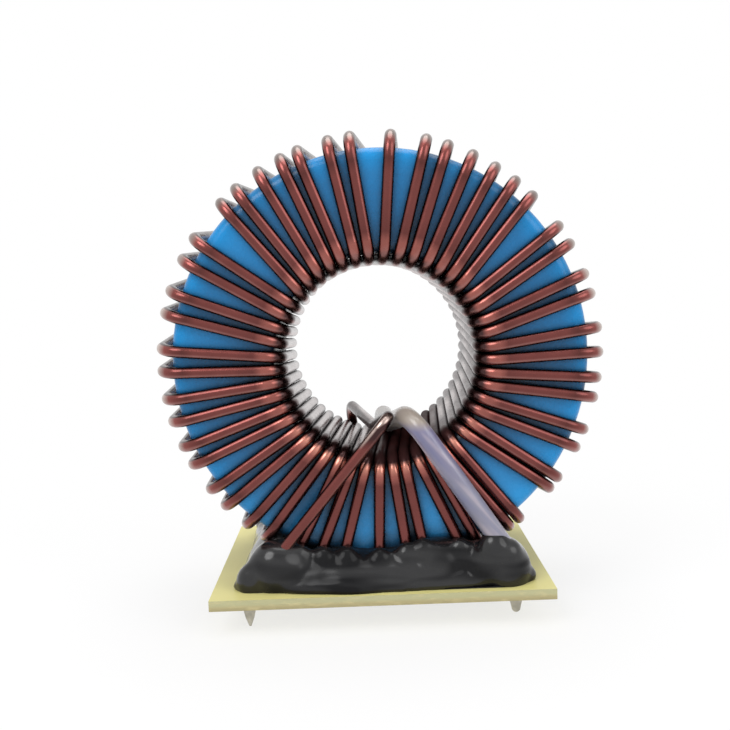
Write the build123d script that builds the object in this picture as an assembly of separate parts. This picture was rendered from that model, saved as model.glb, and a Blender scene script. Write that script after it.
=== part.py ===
"""Upright ring-core inductor on a small base board.

A coated powder ring stands on edge on a glass-laminate board. Two enamelled wires are wound round it
side by side in one layer. Their start ends climb over the front face into the hole, one of them in a
sleeve, and their finish ends go down the back. All four ends pass through the board as tinned pins,
and a bead of adhesive holds ring, wires and board together.

Each wire is made in lengths that meet face to face, none of which closes round the ring's hole.

Millimetres, +Z up, the ring's axis along Y, the front towards -Y. The origin is the middle of the
board's underside.
"""
import math
import os

from build123d import *

# ring core, coating included
core_od = 47.6
core_bore_d = 24.1
core_h = 18.9
core_edge_r = 1.5
core_shift_x = 0.75  # the ring sits a little right of the board's middle

# wire and how it lies on the ring
wire_d = 1.34
wire_gap = 0.06  # between wire and ring on the faces and in the bore
turn_gap = 0.035  # least room between neighbours in the bore
layer_gap = 0.05  # between a lead and the winding under it
rim_gap = 0.31  # the wire stands off the ring's rim
rim_slack = 0.45  # and a little more towards the top
rim_bend_r = 2.6

# turns: angles run clockwise from the top, seen from the front
first_run_deg = 182.7
bore_shift_deg = 8.3  # how far a run through the bore moves on
rim_shift_deg = 2.9  # the same for a run along the rim
# how far each front run leans at its rim end, in winding order
lean_deg = [
    -0.4, -1.8, 0.3, -3.4, -1.1, -3.8, -0.1, -5.0, -1.4, -4.0,
    -2.2, -4.3, -2.6, -2.4, -1.9, -4.0, -2.3, -4.0, -2.1, -5.2,
    -3.8, -2.9, -1.9, -0.6, 1.7, 0.5, -2.2, -0.4, -0.9, 1.4,
    2.4, 2.2, 4.5, 0.6, 2.1, 0.6, 2.4, 0.8, 2.3, 1.8,
    2.7, 2.5, 4.1, 2.8, 3.9, 3.2, 4.1, 1.9, 2.7, 3.0,
]
back_lean_share = 0.4  # of that lean on the back face
# the bore's spare room that each turn leaves before the next: none where the turns are crowded
room_shares = [
    0, 0, 0, 0, 0, 0, 0, 0, 0, 0,
    0, 0, 0, 0, 1, 0, 1, 3, 4, 2,
    1, 5, 11, 9, 11, 10, 4, 7, 0, 5,
    0, 5, 7, 7, 3, 7, 9, 4, 0, 1,
    0, 0, 0, 0, 0, 0, 0, 0, 0, 0,
]

# base board
board_w = 38.7
board_d = 29.5
board_t = 1.2
seat_gap = 0.2  # between the lowest wires and the board

# lead ends through the board
pin_inset_x = 4.1
pin_inset_y = 3.25
tin_t = 0.04  # solder on the wire
pin_len = 2.53  # below the board
spike_len = 0.5  # drawn-out tip of the front left pin
hole_gap = 0.12  # round a pin in the board
shank_share = 0.45  # straight part of a pin
neck_share = 0.72  # how far it is drawn in before its tip
lead_rise = 1.3  # straight part of a lead above the board
lead_bend_r = 1.2

# sleeve on the second wire's start
sleeve_d = 2.3
sleeve_gap = 0.05  # between wire and sleeve
crest_bend_r = 3.0
apex_bend_r = 1.5
hole_bend_r = 4.0
back_bend_r = 2.4

# adhesive
bead_side_gap = 2.1  # from the board's side edges
bead_front_gap = 0.7  # from its front and back edges
bead_h = 4.8
bead_corner_r = 3.0
bead_top_r = 2.6
bead_slope_deg = 14.0

# where the leads bend, as shares of the radius that each point follows
a_low_shares = (-0.532, -0.915)  # of the rim radius
a_apex_shares = (0.088, -0.517)  # of the bore radius
a_hole_shares = (-0.082, -0.76)
a_hole_depth_share = -0.34  # of the face layer's depth
a_back_shares = (-0.362, -0.706)
a_drop_share = -0.685  # of the rim radius
b_low_shares = (0.574, -0.926)
b_crest_shares = (0.256, -0.521)
b_hole_deg = 174.3
b_hole_depth_share = 0.29
b_back_deg = 177.5
a_start_shift_share = 0.58  # of the pitch between turns
b_start_shift_share = 0.70
tail_run_share = 0.72  # how far a finish end follows the back face
tail_low_share = -0.935  # of the rim radius
tail_step_share = 0.01
tail_out = 2.1  # how far it then stands off
sleeve_front_share = 0.02  # of the run that the sleeve starts on
sleeve_back_share = 0.40
bend_limit_share = 0.45

lengths_each = 8  # lengths that one wire's turns are made in

# sizes that follow
wire_r = wire_d / 2
face_y = core_h / 2 + wire_gap + wire_r
lead_y = face_y + wire_d + layer_gap
sleeve_y = face_y + wire_r + layer_gap + sleeve_d / 2
tail_y = face_y + tail_out
bore_r = core_bore_d / 2 - wire_gap - wire_r
sleeve_r = bore_r - wire_r - layer_gap - sleeve_d / 2
rim_r = core_od / 2 + rim_gap + wire_r
bore_bend_r = core_edge_r + wire_gap + wire_r
axis_z = board_t + seat_gap + wire_r + rim_r

# as many pairs of turns as the bore takes in one layer
slot_deg = 2 * math.degrees(math.asin((wire_d + turn_gap) / (2 * bore_r)))
turns_each = int(360 / slot_deg / 2)
turn_count = 2 * turns_each
pitch_deg = 360 / turn_count
spare_deg = 360 - turn_count * slot_deg
room = [room_shares[k % len(room_shares)] for k in range(turn_count)]
step_deg = [slot_deg + spare_deg * share / sum(room) for share in room]

pin_x = board_w / 2 - pin_inset_x
pin_y = board_d / 2 - pin_inset_y
pin_r = wire_r + tin_t
joint_z = 0  # wire above and tinned pin below meet at the board's underside


def at(x, y, z):
    """A point given from the ring's centre."""
    return Vector(core_shift_x + x, y, axis_z + z)


def polar(radius, angle, y):
    """A point at an angle clockwise from the top, seen from the front."""
    turn = math.radians(angle)
    return at(radius * math.sin(turn), y, radius * math.cos(turn))


def shared(radius, shares, y):
    return at(radius * shares[0], y, radius * shares[1])


def run_angle(k):
    return first_run_deg - sum(step_deg[:k])


def rim_angle(k):
    return run_angle(k) + lean_deg[k % len(lean_deg)]


def back_rim_angle(k):
    return run_angle(k) + lean_deg[k % len(lean_deg)] * back_lean_share + rim_shift_deg


def rim_point(angle, y):
    """A rim corner of the winding, standing off a little more towards the top."""
    slack = rim_slack * (1 + math.cos(math.radians(angle))) / 2
    return polar(rim_r + slack, angle, y)


def between(a, b, share):
    return a + (b - a) * share


def bends(points, wanted):
    """The bend at each inner point, held to what its two runs leave room for."""
    radii = []
    for before, here, after, radius in zip(points, points[1:], points[2:], wanted):
        turn = math.radians((here - before).get_angle(after - here))
        room = min((here - before).length, (after - here).length) * bend_limit_share
        radii.append(min(radius, room / math.tan(turn / 2)))
    return radii


def round_bar(points, radii, radius):
    path = FilletPolyline(*points, radius=radii)
    return sweep(Plane(origin=path @ 0, z_dir=path % 0) * Circle(radius), path=path)


def wire(points, wanted, cuts):
    """A wire in lengths that meet at the middle of the straight runs that follow the cut points."""
    radii = bends(points, wanted)
    marks = [0] + cuts + [len(points) - 2]
    lengths = []
    for start, end in zip(marks, marks[1:]):
        head = between(points[start], points[start + 1], 1 / 2) if start > 0 else points[0]
        last = between(points[end], points[end + 1], 1 / 2) if end < len(points) - 2 else points[-1]
        inner = points[start + 1 : end + 1]
        lengths.append(round_bar([head, *inner, last], radii[start:end], wire_r))
    return Compound(children=lengths)


def cut_points(lead, wound):
    """Where a wire is cut: behind its lead, after every few turns and behind its last turn."""
    corners_per_turn = 4
    first = len(lead) - 1
    spans = [round(turns_each * i / lengths_each) for i in range(lengths_each)]
    return [first + corners_per_turn * k for k in spans] + [first + len(wound)]


def turns(first):
    """Corners and bends of one wire from its first front run to its last run through the bore."""
    corners = []
    sizes = []
    last = 2 * (turns_each - 1) + first
    for k in range(first, last + 1, 2):
        through = run_angle(k) - bore_shift_deg
        corners += [rim_point(rim_angle(k), -face_y), polar(bore_r, run_angle(k), -face_y)]
        corners.append(polar(bore_r, through, face_y))
        sizes += [rim_bend_r, bore_bend_r, bore_bend_r]
        if k < last:
            corners.append(rim_point(back_rim_angle(k + 2), face_y))
            sizes.append(rim_bend_r)
    return corners, sizes


def foot(side_x, side_y):
    """The end of a lead: its straight part above the board and its joint with the pin."""
    x = side_x * pin_x
    y = side_y * pin_y
    return [Vector(x, y, joint_z), Vector(x, y, board_t + lead_rise)]


def tail(first, side_x, low_angle):
    """A finish end: down the back face, out, across behind the winding and into the board."""
    last = 2 * (turns_each - 1) + first
    start = polar(bore_r, run_angle(last) - bore_shift_deg, face_y)
    low = polar(rim_r, low_angle, face_y)
    leave = between(start, low, tail_run_share)
    step = low.X - core_shift_x + side_x * rim_r * tail_step_share
    points = [leave, at(step, tail_y, rim_r * tail_low_share)] + foot(side_x, 1)[::-1]
    return points, [lead_bend_r, lead_bend_r, lead_bend_r]


# rim angles of the start ends and, midway to their neighbours, of the finish ends
a_start_deg = rim_angle(0) + pitch_deg * a_start_shift_share
b_start_deg = rim_angle(1) + pitch_deg * b_start_shift_share
last_back_deg = back_rim_angle(turn_count - 1) + 360
first_back_deg = back_rim_angle(2)
a_tail_deg = (a_start_deg + last_back_deg) / 2
b_tail_deg = (b_start_deg + first_back_deg) / 2

# first wire: bare start at front left, finish at rear left
a_turns, a_bends = turns(0)
a_drop_x = rim_r * math.sin(math.radians(a_start_deg))
a_lead = foot(-1, -1) + [
    shared(rim_r, a_low_shares, -lead_y),
    shared(bore_r, a_apex_shares, -lead_y),
    shared(bore_r, a_hole_shares, face_y * a_hole_depth_share),
    shared(bore_r, a_back_shares, lead_y),
    at(a_drop_x, lead_y, rim_r * a_drop_share),
    polar(rim_r, a_start_deg, lead_y),
]
a_tail, a_tail_bends = tail(0, -1, a_tail_deg)
a_points = a_lead + a_turns + a_tail
a_wanted = [lead_bend_r, lead_bend_r, apex_bend_r, hole_bend_r, back_bend_r, hole_bend_r, rim_bend_r]
a_wanted += a_bends + a_tail_bends
winding_a = wire(a_points, a_wanted, cut_points(a_lead, a_turns))

# second wire: sleeved start at front right, finish at rear right
b_turns, b_bends = turns(1)
b_lead = foot(1, -1) + [
    shared(rim_r, b_low_shares, -sleeve_y),
    shared(bore_r, b_crest_shares, -sleeve_y),
    polar(sleeve_r, b_hole_deg, face_y * b_hole_depth_share),
    polar(sleeve_r, b_back_deg, sleeve_y),
    polar(rim_r, b_start_deg, sleeve_y),
]
b_tail, b_tail_bends = tail(1, 1, b_tail_deg)
b_points = b_lead + b_turns + b_tail
b_wanted = [lead_bend_r, lead_bend_r, crest_bend_r, hole_bend_r, back_bend_r, rim_bend_r]
b_wanted += b_bends + b_tail_bends
winding_b = wire(b_points, b_wanted, cut_points(b_lead, b_turns))

# sleeve: the same route, from inside the bead to part of the way down the back
low, crest, hole, back, drop = b_lead[2:]
sleeve_points = [between(low, crest, sleeve_front_share), crest, hole, back]
sleeve_points.append(between(back, drop, sleeve_back_share))
sleeve_radii = bends(b_points, b_wanted)[2:5]
sleeve_body = round_bar(sleeve_points, sleeve_radii, sleeve_d / 2)
sleeve_bore = round_bar(sleeve_points, sleeve_radii, wire_r + sleeve_gap)
lead_sleeve = sleeve_body - sleeve_bore

# ring with rounded edges, its axis turned to lie along Y
blank = Cylinder(core_od / 2, core_h) - Cylinder(core_bore_d / 2, core_h)
rounded = fillet(blank.edges().filter_by(GeomType.CIRCLE), core_edge_r)
core = Pos(core_shift_x, 0, axis_z) * Rot(90, 0, 0) * rounded

# board with a hole for each lead
board = Pos(0, 0, board_t / 2) * Box(board_w, board_d, board_t)
lead_hole = Cylinder(pin_r + hole_gap, 2 * board_t)
for side_x in (-1, 1):
    for side_y in (-1, 1):
        board -= Pos(side_x * pin_x, side_y * pin_y, board_t / 2) * lead_hole

# adhesive: a low mound under and around the ring, shaped by all that it holds
mound_w = board_w - 2 * bead_side_gap
mound_d = board_d - 2 * bead_front_gap
outline = Pos(0, 0, board_t) * RectangleRounded(mound_w, mound_d, bead_corner_r)
mound = extrude(outline, bead_h, taper=bead_slope_deg)
mound = fillet(mound.faces().sort_by(Axis.Z)[-1].edges(), bead_top_r)
adhesive = mound - core - winding_a - winding_b - sleeve_body


def pin(side_x, side_y, spiked):
    """A tinned wire end below the board: straight, drawn in, and then round or drawn out to a spike."""
    neck_r = pin_r * neck_share
    straight = pin_len * shank_share
    drawn = pin_len - straight - neck_r
    shank = Pos(0, 0, -straight / 2) * Cylinder(pin_r, straight)
    neck = Pos(0, 0, -straight - drawn / 2) * Cone(neck_r, pin_r, drawn)
    if spiked:
        tip_len = neck_r + spike_len
        tip = Pos(0, 0, -straight - drawn - tip_len / 2) * Cone(neck_r / 4, neck_r, tip_len)
    else:
        tip = Pos(0, 0, -straight - drawn) * Sphere(neck_r)
    return Pos(side_x * pin_x, side_y * pin_y, joint_z) * (shank + neck + tip)


nodes = {
    "core": core,
    "winding_a": winding_a,
    "winding_b": winding_b,
    "lead_sleeve": lead_sleeve,
    "base_board": board,
    "adhesive": adhesive,
    "front_left_pin": pin(-1, -1, True),
    "front_right_pin": pin(1, -1, False),
    "rear_left_pin": pin(-1, 1, False),
    "rear_right_pin": pin(1, 1, False),
}

os.makedirs("parts", exist_ok=True)
for name, shape in nodes.items():
    export_step(shape, f"parts/{name}.step")
    print(name, len(shape.solids()), round(shape.volume, 1))
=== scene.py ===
import math

import bpy
from bpy.props import FloatProperty, FloatVectorProperty, PointerProperty
from bpy.types import Operator, Panel, PropertyGroup
from mathutils import Matrix, Vector


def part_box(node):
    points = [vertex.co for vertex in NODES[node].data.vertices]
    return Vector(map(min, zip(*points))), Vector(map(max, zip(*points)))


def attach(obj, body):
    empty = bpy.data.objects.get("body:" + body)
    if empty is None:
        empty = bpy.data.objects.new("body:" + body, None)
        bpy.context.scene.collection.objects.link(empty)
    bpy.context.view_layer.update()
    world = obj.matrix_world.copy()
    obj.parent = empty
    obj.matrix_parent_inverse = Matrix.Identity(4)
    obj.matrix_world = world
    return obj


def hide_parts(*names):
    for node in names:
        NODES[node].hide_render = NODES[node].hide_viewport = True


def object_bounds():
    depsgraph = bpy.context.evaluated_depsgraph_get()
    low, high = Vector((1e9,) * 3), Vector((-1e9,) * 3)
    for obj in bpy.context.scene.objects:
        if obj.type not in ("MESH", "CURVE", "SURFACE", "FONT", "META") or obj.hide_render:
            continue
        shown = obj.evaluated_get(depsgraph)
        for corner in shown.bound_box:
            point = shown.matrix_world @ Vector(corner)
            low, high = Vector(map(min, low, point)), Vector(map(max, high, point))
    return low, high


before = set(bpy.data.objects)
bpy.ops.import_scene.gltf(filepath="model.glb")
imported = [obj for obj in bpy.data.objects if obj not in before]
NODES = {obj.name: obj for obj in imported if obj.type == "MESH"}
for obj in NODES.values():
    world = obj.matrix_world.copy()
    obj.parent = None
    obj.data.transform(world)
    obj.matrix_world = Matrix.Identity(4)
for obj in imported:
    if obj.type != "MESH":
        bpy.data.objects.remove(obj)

bl_info = {
    "name": "Ring-core inductor",
    "version": (1, 0, 0),
    "blender": (4, 5, 0),
    "location": "View3D > Sidebar > Inductor",
    "description": "Finishes and details for an upright ring-core inductor on a base board",
    "category": "Object",
}

MM = 0.001
CAD_BOX = [list(corner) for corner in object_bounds()]
BOARD_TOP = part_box("base_board")[1].z
CORE_LOW, CORE_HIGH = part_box("core")
AXIS = Vector(((CORE_LOW.x + CORE_HIGH.x) / 2, 0, (CORE_LOW.z + CORE_HIGH.z) / 2))
LOWEST = CAD_BOX[0][2]


class InductorColours(PropertyGroup):
    """Colours of the finishes."""

    enamel: FloatVectorProperty(
        name="Enamel", description="Wire enamel over copper",
        subtype="COLOR", default=(0.18, 0.047, 0.041))
    # painted highlight: the lighter colour near the bore and on the turns into it
    enamel_turn_highlight: FloatVectorProperty(
        name="Enamel, thin", description="Wire where it turns into the bore",
        subtype="COLOR", default=(0.34, 0.105, 0.085))
    # painted shade: the wire's dark flanks and crevices; lightened, the shade at the bore, at its bottom and on
    # the lead's crest
    enamel_shade: FloatVectorProperty(
        name="Enamel, thick", description="Wire in the crevices",
        subtype="COLOR", default=(0.020, 0.009, 0.009))
    # painted reflection of the white surround on the rim bends, and a painted highlight on the upper side of
    # the lead's crest
    enamel_reflection: FloatVectorProperty(
        name="Enamel, bends", description="Stretched enamel on the rim bends",
        subtype="COLOR", default=(0.54, 0.43, 0.385))
    enamel_bend: FloatVectorProperty(
        name="Enamel, lit", description="Wire that turns into the low side of the bore",
        subtype="COLOR", default=(0.66, 0.27, 0.20))
    # painted reflection of the floor on the lower side of the wire
    enamel_lower_reflection: FloatVectorProperty(
        name="Enamel, lower side", description="Duller enamel on the lower side of the wire",
        subtype="COLOR", default=(0.36, 0.17, 0.155))
    # painted reflection of the white surround on the wire deep in the bore
    enamel_bore_reflection: FloatVectorProperty(
        name="Enamel, bore", description="Polished wire in the bore",
        subtype="COLOR", default=(0.43, 0.38, 0.37))
    coating: FloatVectorProperty(
        name="Core coating", description="Epoxy coat of the ring",
        subtype="COLOR", default=(0.018, 0.262, 0.620))
    coating_dark: FloatVectorProperty(
        name="Core coating, thick", description="Where the coat pools",
        subtype="COLOR", default=(0.016, 0.214, 0.520))
    # painted highlight on the ring's rounded edge
    coating_edge_highlight: FloatVectorProperty(
        name="Core coating, edge", description="Thin coat on the ring's rounded edge",
        subtype="COLOR", default=(0.004, 0.285, 0.690))
    # painted light on the lower part of the ring
    coating_low_light: FloatVectorProperty(
        name="Core coating, low", description="Brighter coat on the lower part of the ring",
        subtype="COLOR", default=(0.030, 0.360, 0.800))
    # painted shade on the ring close beside the wires
    coating_shade: FloatVectorProperty(
        name="Core coating, crevice", description="Varnish and dirt on the ring close beside the wires",
        subtype="COLOR", default=(0.010, 0.014, 0.022))
    laminate: FloatVectorProperty(
        name="Laminate", description="Board faces",
        subtype="COLOR", default=(0.76, 0.70, 0.28))
    laminate_edge: FloatVectorProperty(
        name="Laminate, cut", description="Lower part of the sawn board edges",
        subtype="COLOR", default=(0.46, 0.40, 0.21))
    laminate_upper: FloatVectorProperty(
        name="Laminate, cut, upper", description="Upper part of the sawn board edges",
        subtype="COLOR", default=(0.49, 0.475, 0.27))
    epoxy: FloatVectorProperty(
        name="Adhesive", description="Black epoxy",
        subtype="COLOR", default=(0.008, 0.008, 0.009))
    epoxy_skin: FloatVectorProperty(
        name="Adhesive, skin", description="Duller patches of the adhesive",
        subtype="COLOR", default=(0.014, 0.014, 0.015))
    sleeve_crest: FloatVectorProperty(
        name="Sleeve, crest", description="Sleeve where it bends into the hole",
        subtype="COLOR", default=(0.43, 0.37, 0.32))
    sleeve_high: FloatVectorProperty(
        name="Sleeve, upper", description="Sleeve below its crest",
        subtype="COLOR", default=(0.22, 0.206, 0.33))
    sleeve_low: FloatVectorProperty(
        name="Sleeve, lower", description="Sleeve near the board",
        subtype="COLOR", default=(0.27, 0.265, 0.35))
    sleeve_streak: FloatVectorProperty(
        name="Sleeve, streaks", description="Milky streaks along the sleeve",
        subtype="COLOR", default=(0.52, 0.46, 0.52))
    sleeve_thin: FloatVectorProperty(
        name="Sleeve, thin", description="Bluish streaks where the sleeve is clearer",
        subtype="COLOR", default=(0.15, 0.165, 0.32))
    solder: FloatVectorProperty(
        name="Solder", description="Tinned wire ends",
        subtype="COLOR", default=(0.60, 0.565, 0.47))


class InductorSizes(PropertyGroup):
    """Sizes of the shapes that are added here."""

    bead_voxel: FloatProperty(
        name="Bead grain", description="Cell size when the bead's lumps are run together", unit="LENGTH",
        default=0.22 * MM)
    camera_lens: FloatProperty(
        name="Lens", description="Focal length", unit="CAMERA", default=45.96)
    floor_width: FloatProperty(
        name="Floor", description="Width of the floor", unit="LENGTH", default=3.0)
    shadow_reach: FloatProperty(
        name="Shadow", description="How far from the part the floor shows its shadow", unit="LENGTH",
        default=90.0 * MM)


class InductorSettings(PropertyGroup):
    """What the panel shows."""

    colours: PointerProperty(type=InductorColours)
    sizes: PointerProperty(type=InductorSizes)


def look():
    """The settings of this scene."""
    return bpy.context.scene.inductor


def nothing_selected():
    """Leaves edit mode and deselects everything."""
    if bpy.context.object and bpy.context.object.mode != "OBJECT":
        bpy.ops.object.mode_set(mode="OBJECT")
    bpy.ops.object.select_all(action="DESELECT")


def only(piece):
    """Selects one piece and makes it active."""
    nothing_selected()
    piece.select_set(True)
    bpy.context.view_layer.objects.active = piece


def apply_place(piece):
    """Moves a piece's place and size into its mesh."""
    only(piece)
    bpy.ops.object.transform_apply(location=True, rotation=True, scale=True)


def modifier(piece, kind, **values):
    """Adds a modifier, sets it and applies it."""
    only(piece)
    made = piece.modifiers.new(kind.lower(), kind)
    for key, value in values.items():
        setattr(made, key, value)
    bpy.ops.object.modifier_apply(modifier=made.name)


def finish_mesh(piece, name, material, replaced=()):
    """Names a new piece, gives it its material and hangs it on the part."""
    piece.name = name
    piece.data.name = name
    piece.data.materials.clear()
    piece.data.materials.append(material)
    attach(piece, "root")
    if replaced:
        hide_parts(*replaced)


def node(tree, kind, **values):
    """Adds a shader node and sets it."""
    made = tree.nodes.new("ShaderNode" + kind)
    for key, value in values.items():
        setattr(made, key, value)
    return made


def group(name, inputs, outputs):
    """Starts a node group with number sockets: inputs with their defaults, and outputs."""
    tree = bpy.data.node_groups.new(name, "ShaderNodeTree")
    for label, default in inputs:
        socket = tree.interface.new_socket(label, in_out="INPUT", socket_type="NodeSocketFloat")
        socket.default_value = default
    for label in outputs:
        tree.interface.new_socket(label, in_out="OUTPUT", socket_type="NodeSocketFloat")
    return tree, tree.nodes.new("NodeGroupInput"), tree.nodes.new("NodeGroupOutput")


def mottle_group():
    """Soft blotches and a fine grain, as masks from 0 to 1."""
    if "mottle" in bpy.data.node_groups:
        return bpy.data.node_groups["mottle"]
    tree, given, out = group("mottle", [("Blotch", 200.0), ("Grain", 2500.0)], ["Blotch", "Grain"])
    place = node(tree, "TexCoord")
    for label, detail, low, high in (("Blotch", 3.0, 0.36, 0.66), ("Grain", 2.0, 0.30, 0.70)):
        cloud = node(tree, "TexNoise")
        cloud.inputs["Detail"].default_value = detail
        spread = node(tree, "MapRange")
        spread.inputs["From Min"].default_value = low
        spread.inputs["From Max"].default_value = high
        tree.links.new(place.outputs["Object"], cloud.inputs["Vector"])
        tree.links.new(given.outputs[label], cloud.inputs["Scale"])
        tree.links.new(cloud.outputs["Fac"], spread.inputs["Value"])
        tree.links.new(spread.outputs["Result"], out.inputs[label])
    return tree


def cut_edge_group():
    """A mask that is 1 on upright sides and 0 on level faces."""
    if "cut_edge" in bpy.data.node_groups:
        return bpy.data.node_groups["cut_edge"]
    tree, given, out = group("cut_edge", [("Sharpness", 0.5)], ["Side"])
    facing = node(tree, "NewGeometry")
    split = node(tree, "SeparateXYZ")
    size = node(tree, "Math", operation="ABSOLUTE")
    below = node(tree, "Math", operation="LESS_THAN")
    tree.links.new(facing.outputs["Normal"], split.inputs["Vector"])
    tree.links.new(split.outputs["Z"], size.inputs[0])
    tree.links.new(size.outputs[0], below.inputs[0])
    tree.links.new(given.outputs["Sharpness"], below.inputs[1])
    tree.links.new(below.outputs[0], out.inputs["Side"])
    return tree


def ring_place_group():
    """Where a point lies on the ring, in millimetres from its axis and middle plane, and which way it faces."""
    if "ring_place" in bpy.data.node_groups:
        return bpy.data.node_groups["ring_place"]
    labels = ["Radius", "Depth", "Height", "Across", "Ahead", "Flank", "Front", "Upward"]
    tree, _, out = group("ring_place", [], labels)
    place = node(tree, "TexCoord")

    def vector(kind, first, second=None):
        made = node(tree, "VectorMath", operation=kind)
        for index, item in enumerate((first, second)):
            if hasattr(item, "is_output"):
                tree.links.new(item, made.inputs[index])
            elif item is not None:
                made.inputs[index].default_value = item
        return made

    shift = vector("SUBTRACT", place.outputs["Object"], AXIS).outputs["Vector"]
    flat = vector("MULTIPLY", shift, Vector((1, 0, 1)) / MM).outputs["Vector"]
    deep = vector("MULTIPLY", shift, Vector((0, 1, 0)) / MM).outputs["Vector"]
    outwards = vector("NORMALIZE", flat).outputs["Vector"]
    round_ring = vector("CROSS_PRODUCT", outwards, (0, 1, 0)).outputs["Vector"]
    faces = place.outputs["Normal"]
    measures = [
        vector("LENGTH", flat),
        vector("LENGTH", deep),
        vector("DOT_PRODUCT", shift, Vector((0, 0, 1)) / MM),
        vector("DOT_PRODUCT", shift, Vector((1, 0, 0)) / MM),
        vector("DOT_PRODUCT", shift, Vector((0, -1, 0)) / MM),
        vector("DOT_PRODUCT", faces, round_ring),
        vector("DOT_PRODUCT", faces, (0, 1, 0)),
        vector("DOT_PRODUCT", faces, (0, 0, 1)),
    ]
    for label, measure in zip(labels, measures):
        value = measure.outputs["Value"]
        if label in ("Flank", "Front"):
            positive = node(tree, "Math", operation="ABSOLUTE")
            tree.links.new(value, positive.inputs[0])
            value = positive.outputs[0]
        tree.links.new(value, out.inputs[label])
    return tree


def placed(tree, source, **values):
    """Places a node group in a material, with its own values."""
    made = node(tree, "Group", node_tree=source)
    for key, value in values.items():
        made.inputs[key].default_value = value
    return made


# colour sockets of a Mix node, whose names repeat
MIX_MASK, MIX_FIRST, MIX_SECOND, MIX_RESULT = 0, 6, 7, 2


def blend_colours(tree, mask, first, second):
    """The first colour where the mask is 0 and the second where it is 1; either may be a socket."""
    mix = node(tree, "Mix", data_type="RGBA")
    for index, colour in ((MIX_FIRST, first), (MIX_SECOND, second)):
        if hasattr(colour, "is_output"):
            tree.links.new(colour, mix.inputs[index])
        else:
            mix.inputs[index].default_value = (*colour, 1)
    tree.links.new(mask, mix.inputs[MIX_MASK])
    return mix.outputs[MIX_RESULT]


def shade(colour, factor):
    """A colour made darker or lighter."""
    return tuple(min(1.0, part * factor) for part in colour)


def along(tree, value, stops):
    """A colour that follows a value: stops give the value and the colour there."""
    low, high = stops[0][0], stops[-1][0]
    ramp = node(tree, "ValToRGB")
    points = ramp.color_ramp.elements
    points[0].color = (*stops[0][1], 1)
    points[1].color = (*stops[-1][1], 1)
    for at, colour in stops[1:-1]:
        points.new((at - low) / (high - low)).color = (*colour, 1)
    tree.links.new(spread_value(tree, value, 0, 1, low, high), ramp.inputs["Fac"])
    return ramp.outputs["Color"]


def spread_value(tree, mask, low, high, start=0.0, end=1.0):
    """What runs from start to end in the mask, spread from low to high and held there."""
    made = node(tree, "MapRange")
    for key, value in (("From Min", start), ("From Max", end), ("To Min", low), ("To Max", high)):
        made.inputs[key].default_value = value
    tree.links.new(mask, made.inputs["Value"])
    return made.outputs["Result"]


def joined(tree, operation, first, second):
    """Two masks joined by a Math node."""
    made = node(tree, "Math", operation=operation)
    tree.links.new(first, made.inputs[0])
    tree.links.new(second, made.inputs[1])
    return made.outputs[0]


def times(tree, first, second):
    """Where both masks are."""
    return joined(tree, "MULTIPLY", first, second)


def larger(tree, first, second):
    """Where either mask is."""
    return joined(tree, "MAXIMUM", first, second)


def scaled_sum(tree, first, factor, second):
    """The first mask times a factor, plus the second."""
    made = node(tree, "Math", operation="MULTIPLY_ADD")
    tree.links.new(first, made.inputs[0])
    made.inputs[1].default_value = factor
    tree.links.new(second, made.inputs[2])
    return made.outputs[0]


def object_axes(tree):
    """The object's own coordinates, one by one."""
    made = node(tree, "SeparateXYZ")
    tree.links.new(node(tree, "TexCoord").outputs["Object"], made.inputs["Vector"])
    return made.outputs


def stretched(tree, scale):
    """The object's own coordinates, scaled along each axis."""
    made = node(tree, "Mapping")
    made.inputs["Scale"].default_value = scale
    tree.links.new(node(tree, "TexCoord").outputs["Object"], made.inputs["Vector"])
    return made.outputs["Vector"]


def noise(tree, place, detail, distortion=0.0):
    """Noise over coordinates that are already scaled."""
    made = node(tree, "TexNoise")
    made.inputs["Scale"].default_value = 1.0
    made.inputs["Detail"].default_value = detail
    made.inputs["Distortion"].default_value = distortion
    tree.links.new(place, made.inputs["Vector"])
    return made.outputs["Fac"]


def relief(tree, shader, height, distance, strength):
    """A fine bump from a mask."""
    bump = node(tree, "Bump")
    bump.inputs["Distance"].default_value = distance
    bump.inputs["Strength"].default_value = strength
    tree.links.new(height, bump.inputs["Height"])
    tree.links.new(bump.outputs["Normal"], shader.inputs["Normal"])


def new_material(name, **values):
    """A material and its shader, with the values that are the same all over."""
    material = bpy.data.materials.new(name)
    material.use_nodes = True
    tree = material.node_tree
    shader = tree.nodes["Principled BSDF"]
    for key, value in values.items():
        shader.inputs[key.replace("_", " ")].default_value = value
    return material, tree, shader


# where the wire's finish changes, as the start and end of each change: millimetres from the ring's axis
RIM_BENDS = (24.4, 25.2)
RIM_RUNS = (23.2, 23.8)
BORE_TURNS = (12.4, 13.3)
BORE_SHADE = (11.8, 12.35)
BORE_CREVICE = (11.15, 11.5)
BORE_WALL = (10.85, 11.15)
BOTTOM_SHADE_EDGE = (11.3, 12.2)
LEAD_OUTSIDE = (11.0, 12.5)
# millimetres from the ring's middle plane, and how far the painted reflection deep in the bore leans as it goes
# to the right
RIM_DEPTH = (6.8, 8.6)
BORE_DEPTH = (3.5, 6.5)
BORE_LEAN = 0.25
LEAD_DEPTH = (10.93, 11.03)
LEAD_AHEAD = (0, 1)
# millimetres above the ring's axis, or to the right of it
BOTTOM_SHADE_HEIGHT = (-9.6, -7.6)
BOTTOM_SHADE_ACROSS = (-2.2, 0.6)
LEAD_CREST = (-9.8, -8.6)
# how far the surface faces up, to the front or round the ring, where 1 is wholly
UNDERSIDE = (-0.2, -0.55)
UPPER_SIDE = (0.2, 0.45)
LEAD_FRONT = (0.46, 0.66)
RUN_FLANK = (0.75, 0.89)
BORE_FLANK = (0.40, 0.75)


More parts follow.
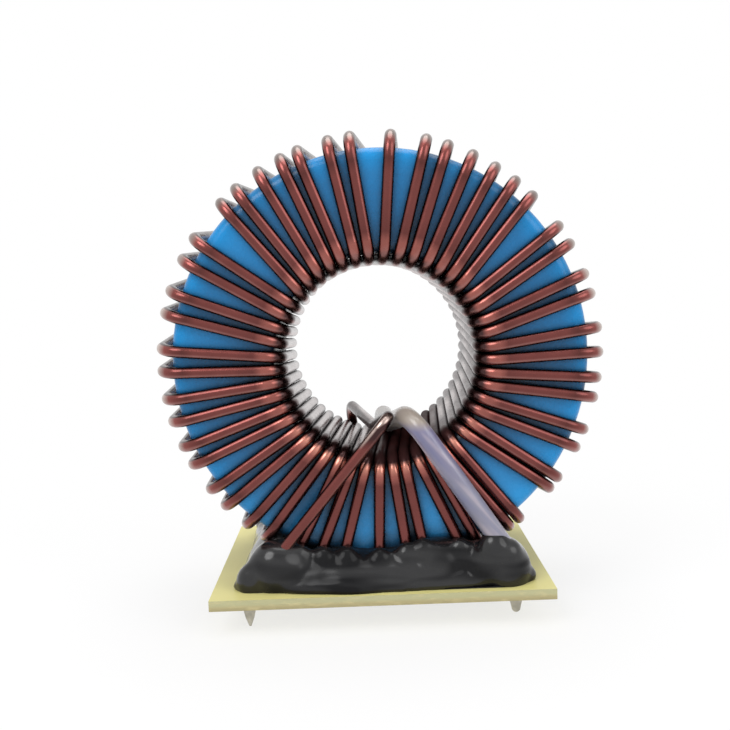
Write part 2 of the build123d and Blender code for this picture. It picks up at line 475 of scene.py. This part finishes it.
def enamel_finish():
    """Reddish brown enamel over copper, with painted highlights and reflections on bends and bore, painted
    shade in crevices.
    """
    colours = look().colours
    base, warm, dark = colours.enamel, colours.enamel_turn_highlight, colours.enamel_shade
    brown = shade(dark, 2.2)
    material, tree, shader = new_material("enamelled_wire", Specular_IOR_Level=0.0, Coat_Roughness=0.03)
    marks = placed(tree, mottle_group(), Blotch=330.0, Grain=1700.0)
    spot = placed(tree, ring_place_group())

    def zone(label, reach, low=0.0, high=1.0):
        return spread_value(tree, spot.outputs[label], low, high, *reach)

    # runs from the bore out to the rim: painted shade where they turn into the bore, a painted highlight beside
    # it, painted shade below the rim bends and painted highlights on them
    colour = along(tree, spot.outputs["Radius"], [
        (11.5, brown), (11.9, brown), (12.5, warm), (13.4, warm), (14.4, shade(base, 0.8)), (16.5, base),
        (21.0, base), (22.3, shade(base, 0.6)), (23.5, base), (24.5, shade(base, 1.5)),
        (25.6, shade(base, 1.8))])

    # painted reflection on the rim bends, fainter towards the top of the ring
    pale, dull = colours.enamel_reflection, shade(colours.enamel_reflection, 0.45)
    bends = along(tree, spot.outputs["Height"], [(-26.0, pale), (8.0, pale), (17.0, dull), (26.0, dull)])
    colour = blend_colours(tree, zone("Radius", RIM_BENDS), colour, bends)

    # painted highlight on the turns into the bore, brightest on its low side, then painted shade where they
    # meet the bore
    lit = colours.enamel_bend
    turns = along(tree, spot.outputs["Height"], [(-13.5, lit), (-9.0, lit), (-6.0, warm), (13.5, warm)])
    colour = blend_colours(tree, zone("Radius", BORE_TURNS, 1, 0), colour, turns)
    colour = blend_colours(tree, zone("Radius", BORE_SHADE, 1, 0), colour, brown)

    # painted reflection on the wire deep in the bore, and painted shade at the bottom of it
    bottom_shade = times(tree, zone("Height", BOTTOM_SHADE_HEIGHT, 1, 0), zone("Across", BOTTOM_SHADE_ACROSS))
    bore = blend_colours(tree, bottom_shade, colours.enamel_bore_reflection, brown)
    leaning = scaled_sum(tree, spot.outputs["Across"], BORE_LEAN, spot.outputs["Depth"])
    deep_in = spread_value(tree, leaning, 1, 0, *BORE_DEPTH)
    deep_bore_reflection = times(tree, zone("Radius", BORE_WALL, 1, 0), deep_in)
    colour = blend_colours(tree, deep_bore_reflection, colour, bore)

    # runs over the rim keep the plain colour; then a painted reflection on the lower sides, and painted shade
    # on the flanks of all runs and in the crevices of the bore
    rim = times(tree, zone("Radius", RIM_RUNS), zone("Depth", RIM_DEPTH, 1, 0))
    colour = blend_colours(tree, rim, colour, base)
    underside = zone("Upward", UNDERSIDE, 0, 0.65)
    colour = blend_colours(tree, underside, colour, colours.enamel_lower_reflection)
    colour = blend_colours(tree, zone("Flank", RUN_FLANK, 0, 0.94), colour, dark)
    crevice = times(tree, zone("Radius", BORE_CREVICE, 1, 0), zone("Flank", BORE_FLANK, 0, 0.9))
    colour = blend_colours(tree, crevice, colour, dark)

    # the bare lead, which lies outside the turns: painted shade on its crest and flanks, a painted reflection
    # on its lower side and a painted highlight on the upper side of its crest
    outside = larger(tree, zone("Ahead", LEAD_AHEAD), zone("Radius", LEAD_OUTSIDE))
    lead = times(tree, zone("Depth", LEAD_DEPTH), outside)
    crest = zone("Height", LEAD_CREST)
    rod = blend_colours(tree, crest, base, brown)
    rod = blend_colours(tree, underside, rod, colours.enamel_lower_reflection)
    rod = blend_colours(tree, zone("Front", LEAD_FRONT, 0.94, 0), rod, dark)
    rod = blend_colours(tree, times(tree, crest, zone("Upward", UPPER_SIDE)), rod, colours.enamel_reflection)
    colour = blend_colours(tree, lead, colour, rod)

    worn = spread_value(tree, marks.outputs["Blotch"], 0, 0.30)
    tree.links.new(blend_colours(tree, worn, colour, shade(base, 0.55)), shader.inputs["Base Color"])
    # no gloss on the painted shade at the bottom of the bore, so that it shows no reflection
    matte_bottom_shade = times(tree, bottom_shade, zone("Radius", BOTTOM_SHADE_EDGE, 1, 0))
    tree.links.new(spread_value(tree, matte_bottom_shade, 1, 0), shader.inputs["Metallic"])
    tree.links.new(spread_value(tree, matte_bottom_shade, 0.3, 0), shader.inputs["Coat Weight"])
    gloss = spread_value(tree, marks.outputs["Grain"], 0.22, 0.34)
    tree.links.new(scaled_sum(tree, matte_bottom_shade, 0.3, gloss), shader.inputs["Roughness"])
    relief(tree, shader, marks.outputs["Blotch"], 0.02 * MM, 0.35)
    return material


# the ring's coat, in millimetres: where its painted highlight on the rounded edge starts (from the axis) and
# where its painted light on the lower part fades out (above the axis)
COAT_EDGE = (20.8, 23.0)
COAT_LOW = (-20, -10)
# how far the painted shade beside the wires reaches, in millimetres, and how open the coat lies where it ends
GAP_REACH = 2.2
GAP_OPEN = (0.22, 0.66)


def coating_finish():
    """Blue epoxy coat with a faint orange peel, painted light on the rounded edge and the lower part, painted
    shade beside the wires.
    """
    colours = look().colours
    material, tree, shader = new_material("core_coating", Specular_IOR_Level=0.32)
    marks = placed(tree, mottle_group(), Blotch=90.0, Grain=1500.0)
    spot = placed(tree, ring_place_group())
    face = blend_colours(tree, marks.outputs["Blotch"], colours.coating_dark, colours.coating)
    # painted highlight on the rounded edge
    thin = spread_value(tree, spot.outputs["Radius"], 0, 1, *COAT_EDGE)
    face = blend_colours(tree, thin, face, colours.coating_edge_highlight)
    # painted light on the lower part of the ring
    low = spread_value(tree, spot.outputs["Height"], 0.75, 0, *COAT_LOW)
    face = blend_colours(tree, low, face, colours.coating_low_light)
    # painted shade beside the wires, from how close they stand
    near = node(tree, "AmbientOcclusion", samples=8)
    near.inputs["Distance"].default_value = GAP_REACH * MM
    clear = spread_value(tree, near.outputs["AO"], 0, 1, *GAP_OPEN)
    tree.links.new(blend_colours(tree, clear, colours.coating_shade, face), shader.inputs["Base Color"])
    tree.links.new(spread_value(tree, marks.outputs["Grain"], 0.22, 0.32), shader.inputs["Roughness"])
    relief(tree, shader, marks.outputs["Grain"], 0.03 * MM, 0.2)
    return material


# the board's sawn edge: turns of its fibres per metre along each axis, and the heights in millimetres between
# which its tan lower part gives way to the upper one
FIBRE_SCALE = (700.0, 700.0, 2600.0)
TAN_END, UPPER_START = 0.35, 0.7


def laminate_finish():
    """Pale yellow glass laminate: smooth faces, and sawn edges that turn tan towards the underside."""
    colours = look().colours
    material, tree, shader = new_material("laminate", Specular_IOR_Level=0.35)
    marks = placed(tree, mottle_group(), Blotch=110.0, Grain=1800.0)
    side = placed(tree, cut_edge_group()).outputs["Side"]
    fibres = noise(tree, stretched(tree, FIBRE_SCALE), 4.0)
    face = blend_colours(tree, marks.outputs["Blotch"], colours.laminate, shade(colours.laminate, 1.10))
    sawn = along(tree, object_axes(tree)["Z"], [
        (0.0, shade(colours.laminate_edge, 0.8)), (TAN_END * MM, colours.laminate_edge),
        (UPPER_START * MM, colours.laminate_upper), (BOARD_TOP, colours.laminate_upper)])
    fleck = spread_value(tree, fibres, 0, 0.55, 0.5, 0.8)
    sawn = blend_colours(tree, fleck, sawn, shade(colours.laminate_edge, 1.5))
    tree.links.new(blend_colours(tree, side, face, sawn), shader.inputs["Base Color"])
    tree.links.new(spread_value(tree, side, 0.40, 0.65), shader.inputs["Roughness"])
    relief(tree, shader, times(tree, side, fibres), 0.12 * MM, 0.35)
    return material


# turns of the adhesive's lying bands per metre along each axis
BAND_SCALE = (110.0, 160.0, 420.0)


def epoxy_finish():
    """Glossy black adhesive with soft, lying bands of duller skin."""
    colours = look().colours
    material, tree, shader = new_material("adhesive", Specular_IOR_Level=0.12, Coat_Roughness=0.18)
    marks = placed(tree, mottle_group(), Blotch=160.0, Grain=1200.0)
    bands = noise(tree, stretched(tree, BAND_SCALE), 1.0, 0.6)
    tree.links.new(spread_value(tree, bands, 0, 0.75, 0.40, 0.62), shader.inputs["Coat Weight"])
    colour = blend_colours(tree, marks.outputs["Blotch"], colours.epoxy, colours.epoxy_skin)
    tree.links.new(colour, shader.inputs["Base Color"])
    tree.links.new(spread_value(tree, marks.outputs["Blotch"], 0.14, 0.24), shader.inputs["Roughness"])
    return material


# the sleeve, in millimetres below the ring's axis: where its lower, upper and crest colours start and end,
# and where its streaks end
LOWER_END, UPPER_FROM, UPPER_END, CREST_FROM = 15, 9.6, 7.8, 6.8
STREAKS_END = (8.4, 7.4)
# how far before the ring's middle plane it turns beige, in millimetres
BEIGE_INSIDE = (-10.4, -9.2)
# turns of its streaks per metre: across it, through it and, slowly, along it
STREAK_WAYS = (("X", (760, 0, 650)), ("Y", (0, 1000, 0)), ("Z", (58, 0, -68)))


def sleeve_finish():
    """Milky tube: beige on its crest and inside the ring, bluish below, greyer near the board."""
    colours = look().colours
    material, tree, shader = new_material(
        "sleeve", Subsurface_Weight=0.25, Subsurface_Radius=(0.6 * MM, 0.5 * MM, 0.55 * MM),
        Subsurface_Scale=1.0, Transmission_Weight=0.12, Coat_Weight=0.5, Coat_Roughness=0.05, Roughness=0.26,
        Sheen_Weight=0.25, Sheen_Roughness=0.4)
    place = node(tree, "TexCoord")
    axes = object_axes(tree)
    milk = along(tree, axes["Z"], [
        (BOARD_TOP, colours.sleeve_low), (AXIS.z - LOWER_END * MM, colours.sleeve_low),
        (AXIS.z - UPPER_FROM * MM, colours.sleeve_high), (AXIS.z - UPPER_END * MM, colours.sleeve_high),
        (AXIS.z - CREST_FROM * MM, colours.sleeve_crest), (AXIS.z, colours.sleeve_crest)])
    below = spread_value(tree, axes["Z"], 1, 0, *(AXIS.z - drop * MM for drop in STREAKS_END))
    lengthwise = node(tree, "CombineXYZ")
    for label, way in STREAK_WAYS:
        step = node(tree, "VectorMath", operation="DOT_PRODUCT")
        step.inputs[1].default_value = way
        tree.links.new(place.outputs["Object"], step.inputs[0])
        tree.links.new(step.outputs["Value"], lengthwise.inputs[label])
    streaks = noise(tree, lengthwise.outputs[0], 1.0)
    milky = spread_value(tree, streaks, 0, 0.75, 0.5, 0.68)
    milk = blend_colours(tree, times(tree, milky, below), milk, colours.sleeve_streak)
    thin = spread_value(tree, streaks, 0.6, 0, 0.32, 0.46)
    milk = blend_colours(tree, times(tree, thin, below), milk, colours.sleeve_thin)
    inside = spread_value(tree, axes["Y"], 0, 1, *(depth * MM for depth in BEIGE_INSIDE))
    tree.links.new(blend_colours(tree, inside, milk, colours.sleeve_crest), shader.inputs["Base Color"])
    return material


def solder_finish():
    """Dull solder with a grainy skin."""
    material, tree, shader = new_material("tinned_wire", Metallic=1.0)
    marks = placed(tree, mottle_group(), Blotch=700.0, Grain=3500.0)
    bright = look().colours.solder
    colour = blend_colours(tree, marks.outputs["Blotch"], shade(bright, 0.62), bright)
    tree.links.new(colour, shader.inputs["Base Color"])
    tree.links.new(spread_value(tree, marks.outputs["Grain"], 0.34, 0.52), shader.inputs["Roughness"])
    relief(tree, shader, marks.outputs["Blotch"], 0.06 * MM, 0.4)
    return material


def dress(names, material):
    """Gives CAD nodes a finish."""
    for name in names:
        NODES[name].data.materials.clear()
        NODES[name].data.materials.append(material)


class INDUCTOR_OT_core(Operator):
    """Coats the ring"""

    bl_idname = "inductor.core"
    bl_label = "Core"

    def execute(self, context):
        dress(["core"], coating_finish())
        return {"FINISHED"}


class INDUCTOR_OT_windings(Operator):
    """Enamels both wires"""

    bl_idname = "inductor.windings"
    bl_label = "Windings"

    def execute(self, context):
        dress(["winding_a", "winding_b"], enamel_finish())
        return {"FINISHED"}


class INDUCTOR_OT_sleeve(Operator):
    """Finishes the sleeve on the right lead"""

    bl_idname = "inductor.sleeve"
    bl_label = "Sleeve"

    def execute(self, context):
        dress(["lead_sleeve"], sleeve_finish())
        return {"FINISHED"}


class INDUCTOR_OT_board(Operator):
    """Finishes the base board"""

    bl_idname = "inductor.board"
    bl_label = "Base board"

    def execute(self, context):
        dress(["base_board"], laminate_finish())
        return {"FINISHED"}


class INDUCTOR_OT_pins(Operator):
    """Tins the wire ends under the board"""

    bl_idname = "inductor.pins"
    bl_label = "Pins"

    def execute(self, context):
        dress(["front_left_pin", "front_right_pin", "rear_left_pin", "rear_right_pin"], solder_finish())
        return {"FINISHED"}


# foot of the adhesive on the board, from front left round to the left side, in millimetres
FOOT = [
    (-16.6, -10.6), (-13.8, -12.7), (-9.2, -14.1), (-3.6, -14.1), (1.9, -14.2), (7.5, -13.4), (12.1, -12.8),
    (15.5, -12.1), (17.2, -10.6), (17.0, -5.0), (16.7, 1.5), (17.0, 8.0), (16.0, 12.0), (12.5, 13.4),
    (6.0, 13.9), (0.0, 13.7), (-6.0, 13.9), (-12.5, 13.4), (-16.0, 12.0), (-16.8, 8.0), (-16.3, 1.5),
    (-16.4, -5.0),
]
# its flank: how far in and how high each step lies
FLANK = [(0.3, 1.3), (1.0, 2.4), (2.0, 3.3), (3.4, 3.9)]
# where it climbs a wire: place across the board and height above it
FRONT_CLIMBS = [
    (-9.4, 5.2), (-6.7, 4.7), (-3.9, 4.6), (-0.1, 4.5), (2.9, 5.0), (4.9, 5.4), (9.1, 5.3), (11.2, 4.9),
]
BACK_CLIMBS = [
    (-13.5, 4.8), (-10.6, 5.0), (-8.0, 4.7), (-5.2, 4.8), (-3.6, 5.2), (-2.0, 5.3), (1.2, 5.2), (2.7, 5.1),
    (4.3, 4.7), (7.8, 4.6), (10.3, 5.0), (13.4, 4.8),
]
# each climb's distance from the middle plane, half sizes, and how far its middle lies below its top
CLIMB_DEPTH = 11.15
CLIMB_HALF = (1.8, 1.5, 2.4)
CLIMB_DROP = 2.3
# lumps round the leads, at the corners, along the toe and over the wires behind: place (x, y, height above the
# board) and half sizes
LUMPS = [
    ((-11.6, -10.7, 1.9), (3.9, 3.0, 3.7)), ((-14.8, -11.2, 0.9), (1.9, 1.7, 2.3)),
    ((-15.9, -10.8, 0.3), (1.3, 1.0, 0.9)), ((6.6, -10.4, 1.7), (4.4, 2.9, 3.5)),
    ((14.2, -11.2, 1.6), (2.9, 2.8, 3.6)), ((14.3, -12.0, 3.3), (2.0, 1.75, 2.1)),
    ((12.9, -12.3, 4.0), (2.2, 1.8, 2.4)), ((11.8, -11.4, 2.0), (2.4, 2.4, 3.0)),
    ((16.3, -11.0, 0.5), (1.5, 1.4, 1.1)), ((-13.4, 10.8, 1.6), (3.6, 3.0, 3.4)),
    ((13.9, 10.8, 1.6), (3.4, 3.0, 3.4)), ((-14.9, 11.4, 1.0), (1.9, 1.7, 2.3)),
    ((15.0, 11.4, 1.0), (1.9, 1.7, 2.3)), ((-4.6, -13.0, 0.5), (7.5, 1.4, 1.2)),
    ((6.5, -12.6, 0.5), (7.0, 1.3, 1.1)), ((0.0, 12.6, 0.5), (9.0, 1.4, 1.2)),
    ((-5.5, 11.9, 2.2), (5.5, 2.1, 2.2)), ((5.5, 11.9, 2.2), (5.5, 2.1, 2.2)),
]
# smoothing passes before and after the waves of its skin, and the waves' length and height in millimetres
FIRST_PASSES, LAST_PASSES = 26, 6
WAVE_LENGTH, WAVE_HEIGHT = 5.2, 0.5
# points this close, and edges this short, are closed up after the cut at the board, in millimetres
MERGE_REACH, SHORT_EDGE = 0.01, 0.005
# radius of the circle that the foot is pulled from, in millimetres
START_RADIUS = 15


class INDUCTOR_OT_bead(Operator):
    """Models the adhesive: a mound, lumps on the leads and skirts on the wires, run together and smoothed"""

    bl_idname = "inductor.bead"
    bl_label = "Adhesive"

    def mound(self):
        """A circle pulled to the foot's outline and drawn up in steps."""
        nothing_selected()
        bpy.ops.mesh.primitive_circle_add(
            vertices=len(FOOT), radius=START_RADIUS * MM, fill_type="NGON", location=(0, 0, BOARD_TOP))
        made = bpy.context.object
        apply_place(made)
        bpy.ops.object.mode_set(mode="EDIT")
        bpy.ops.mesh.select_mode(type="VERT")
        bpy.ops.mesh.select_all(action="DESELECT")
        for index, (x, y) in enumerate(FOOT):
            bpy.ops.object.mode_set(mode="OBJECT")
            for point in made.data.vertices:
                point.select = point.index == index
            step = Vector((x * MM, y * MM, BOARD_TOP)) - made.data.vertices[index].co
            bpy.ops.object.mode_set(mode="EDIT")
            bpy.ops.transform.translate(value=step)
        bpy.ops.mesh.select_all(action="SELECT")
        bpy.ops.mesh.select_mode(type="FACE")
        half = Vector((max(x for x, y in FOOT), max(y for x, y in FOOT)))
        before, height = half, 0.0
        for inset, top in FLANK:
            after = half - Vector((inset, inset))
            bpy.ops.mesh.extrude_region_move(TRANSFORM_OT_translate={"value": (0, 0, (top - height) * MM)})
            bpy.ops.transform.resize(
                value=(after.x / before.x, after.y / before.y, 1), center_override=(0, 0, 0))
            before, height = after, top
        bpy.ops.mesh.select_all(action="SELECT")
        bpy.ops.mesh.normals_make_consistent(inside=False)
        bpy.ops.object.mode_set(mode="OBJECT")
        return made

    def blob(self, place, half):
        """A round lump with its middle at a place above the board."""
        nothing_selected()
        x, y, z = place
        bpy.ops.mesh.primitive_uv_sphere_add(
            segments=24, ring_count=14, radius=MM, location=(x * MM, y * MM, BOARD_TOP + z * MM))
        made = bpy.context.object
        made.scale = half
        apply_place(made)
        return made

    def execute(self, context):
        bead = self.mound()
        skirts = [
            ((x, y, top - CLIMB_DROP), CLIMB_HALF)
            for y, climbs in ((-CLIMB_DEPTH, FRONT_CLIMBS), (CLIMB_DEPTH, BACK_CLIMBS)) for x, top in climbs]
        pieces = [bead] + [self.blob(place, half) for place, half in skirts + LUMPS]
        nothing_selected()
        for piece in pieces:
            piece.select_set(True)
        context.view_layer.objects.active = bead
        bpy.ops.object.join()
        modifier(bead, "REMESH", mode="VOXEL", voxel_size=look().sizes.bead_voxel, adaptivity=0.0)
        modifier(bead, "SMOOTH", factor=0.5, iterations=FIRST_PASSES)
        waves = bpy.data.textures.new("bead_waves", "CLOUDS")
        waves.noise_scale = WAVE_LENGTH * MM
        waves.noise_depth = 0
        modifier(
            bead, "DISPLACE", texture=waves, texture_coords="GLOBAL", strength=WAVE_HEIGHT * MM, mid_level=0.5)
        modifier(bead, "SMOOTH", factor=0.5, iterations=LAST_PASSES)
        only(bead)
        bpy.ops.object.mode_set(mode="EDIT")
        bpy.ops.mesh.select_all(action="SELECT")
        bpy.ops.mesh.bisect(
            plane_co=(0, 0, BOARD_TOP), plane_no=(0, 0, 1), use_fill=True, clear_inner=True)
        bpy.ops.mesh.select_all(action="SELECT")
        bpy.ops.mesh.remove_doubles(threshold=MERGE_REACH * MM)
        bpy.ops.mesh.dissolve_degenerate(threshold=SHORT_EDGE * MM)
        bpy.ops.mesh.quads_convert_to_tris()
        bpy.ops.object.mode_set(mode="OBJECT")
        bpy.ops.object.shade_smooth_by_angle(angle=math.radians(60))
        finish_mesh(bead, "adhesive_bead", epoxy_finish(), ["adhesive"])
        return {"FINISHED"}


# lamps: place in metres, width in metres and power in watts
LAMPS = [
    ("key", (-0.18, -0.20, 0.30), 0.22, 0.55),
    ("fill", (0.25, -0.18, 0.20), 0.25, 0.30),
    ("top", (0.02, 0.06, 0.34), 0.28, 0.45),
]
# brightness of the surround as light on the part, the floor's own colour, and the share of plain white that it
# shows beside the part
SURROUND_LIGHT = 0.62
FLOOR_COLOUR = (0.86, 0.86, 0.86, 1)
FLOOR_WHITE = 0.74
# where that share starts to rise to 1, as a part of the shadow's reach
SHADOW_CORE = 0.3
# camera: place from the ring's axis in millimetres; turn to the right, downwards and about the view in degrees
CAMERA_PLACE = (-2.07, -114.5, 11.22)
CAMERA_TURN = (0.15, 6.38, -2.07)
SENSOR_WIDTH = 36
# nearest distance that the camera shows, in metres
NEAREST = 0.005


def aim(piece, target):
    """Turns a lamp towards a point."""
    piece.rotation_euler = (target - piece.location).to_track_quat("-Z", "Y").to_euler()


class INDUCTOR_OT_stage(Operator):
    """Sets the pale floor, soft light and the camera"""

    bl_idname = "inductor.stage"
    bl_label = "Stage"

    def seen(self, tree):
        """1 for what the camera, a gloss or a clear piece shows, 0 for light that falls on the part."""
        path = node(tree, "LightPath").outputs
        shown = larger(tree, path["Is Camera Ray"], path["Is Glossy Ray"])
        return larger(tree, shown, path["Is Transmission Ray"])

    def floor(self):
        """A pale floor that keeps the part's shadow and fades to white away from it."""
        nothing_selected()
        bpy.ops.mesh.primitive_plane_add(size=look().sizes.floor_width, location=(0, 0, LOWEST))
        plane = bpy.context.object
        plane.name = "floor"
        apply_place(plane)
        bpy.ops.object.mode_set(mode="EDIT")
        bpy.ops.mesh.select_all(action="SELECT")
        bpy.ops.mesh.subdivide(number_cuts=4)
        bpy.ops.object.mode_set(mode="OBJECT")
        material, tree, shader = new_material("floor", Roughness=0.9, Specular_IOR_Level=0.1)
        shader.inputs["Base Color"].default_value = FLOOR_COLOUR
        plane.data.materials.append(material)
        place = node(tree, "TexCoord")
        far = node(tree, "VectorMath", operation="LENGTH")
        tree.links.new(place.outputs["Object"], far.inputs[0])
        reach = look().sizes.shadow_reach
        share = spread_value(tree, far.outputs["Value"], FLOOR_WHITE, 1, SHADOW_CORE * reach, reach)
        white = node(tree, "Emission")
        mix = node(tree, "MixShader")
        tree.links.new(times(tree, self.seen(tree), share), mix.inputs[0])
        tree.links.new(shader.outputs[0], mix.inputs[1])
        tree.links.new(white.outputs[0], mix.inputs[2])
        tree.links.new(mix.outputs[0], tree.nodes["Material Output"].inputs["Surface"])

    def surround(self):
        """White where it is seen, and softer as light."""
        world = bpy.data.worlds.new("surround")
        bpy.context.scene.world = world
        world.use_nodes = True
        tree = world.node_tree
        white = tree.nodes["Background"]
        white.inputs["Color"].default_value = (1, 1, 1, 1)
        tree.links.new(spread_value(tree, self.seen(tree), SURROUND_LIGHT, 1), white.inputs["Strength"])

    def lamp(self, name, place, width, power):
        """A round soft lamp that faces the ring."""
        data = bpy.data.lights.new(name, "AREA")
        data.shape = "DISK"
        data.size = width
        data.energy = power
        made = bpy.data.objects.new(name, data)
        bpy.context.scene.collection.objects.link(made)
        made.location = place
        aim(made, AXIS)

    def camera(self):
        """A camera in front of the ring, turned down and rolled a little."""
        data = bpy.data.cameras.new("camera")
        data.sensor_width = SENSOR_WIDTH
        data.lens = look().sizes.camera_lens
        data.clip_start = NEAREST
        made = bpy.data.objects.new("camera", data)
        bpy.context.scene.collection.objects.link(made)
        yaw, pitch, roll = (math.radians(angle) for angle in CAMERA_TURN)
        ahead = Vector((math.sin(yaw) * math.cos(pitch), math.cos(yaw) * math.cos(pitch), -math.sin(pitch)))
        level = Vector((math.cos(yaw), -math.sin(yaw), 0))
        above = level.cross(ahead)
        right = level * math.cos(roll) + above * math.sin(roll)
        up = above * math.cos(roll) - level * math.sin(roll)
        made.matrix_world = Matrix((right, up, -ahead)).transposed().to_4x4()
        made.location = AXIS + Vector(CAMERA_PLACE) * MM
        bpy.context.scene.camera = made

    def execute(self, context):
        self.floor()
        self.surround()
        for name, place, width, power in LAMPS:
            self.lamp(name, place, width, power)
        self.camera()
        context.scene.view_settings.view_transform = "Standard"
        return {"FINISHED"}


STEPS = [
    INDUCTOR_OT_core,
    INDUCTOR_OT_windings,
    INDUCTOR_OT_sleeve,
    INDUCTOR_OT_board,
    INDUCTOR_OT_bead,
    INDUCTOR_OT_pins,
    INDUCTOR_OT_stage,
]


class INDUCTOR_PT_panel(Panel):
    """Lists the steps, sizes and colours"""

    bl_idname = "INDUCTOR_PT_panel"
    bl_label = "Inductor"
    bl_space_type = "VIEW_3D"
    bl_region_type = "UI"
    bl_category = "Inductor"

    def draw(self, context):
        for step in STEPS:
            self.layout.operator(step.bl_idname)
        for settings in (look().sizes, look().colours):
            for key in settings.bl_rna.properties.keys():
                if key not in ("rna_type", "name"):
                    self.layout.prop(settings, key)


CLASSES = [InductorColours, InductorSizes, InductorSettings] + STEPS + [INDUCTOR_PT_panel]


def register():
    for made in CLASSES:
        bpy.utils.register_class(made)
    bpy.types.Scene.inductor = PointerProperty(type=InductorSettings)


def unregister():
    del bpy.types.Scene.inductor
    for made in reversed(CLASSES):
        bpy.utils.unregister_class(made)


def main():
    register()
    bpy.ops.inductor.core()
    bpy.ops.inductor.windings()
    bpy.ops.inductor.sleeve()
    bpy.ops.inductor.board()
    bpy.ops.inductor.bead()
    bpy.ops.inductor.pins()
    bpy.ops.inductor.stage()


if __name__ == "__main__":
    main()
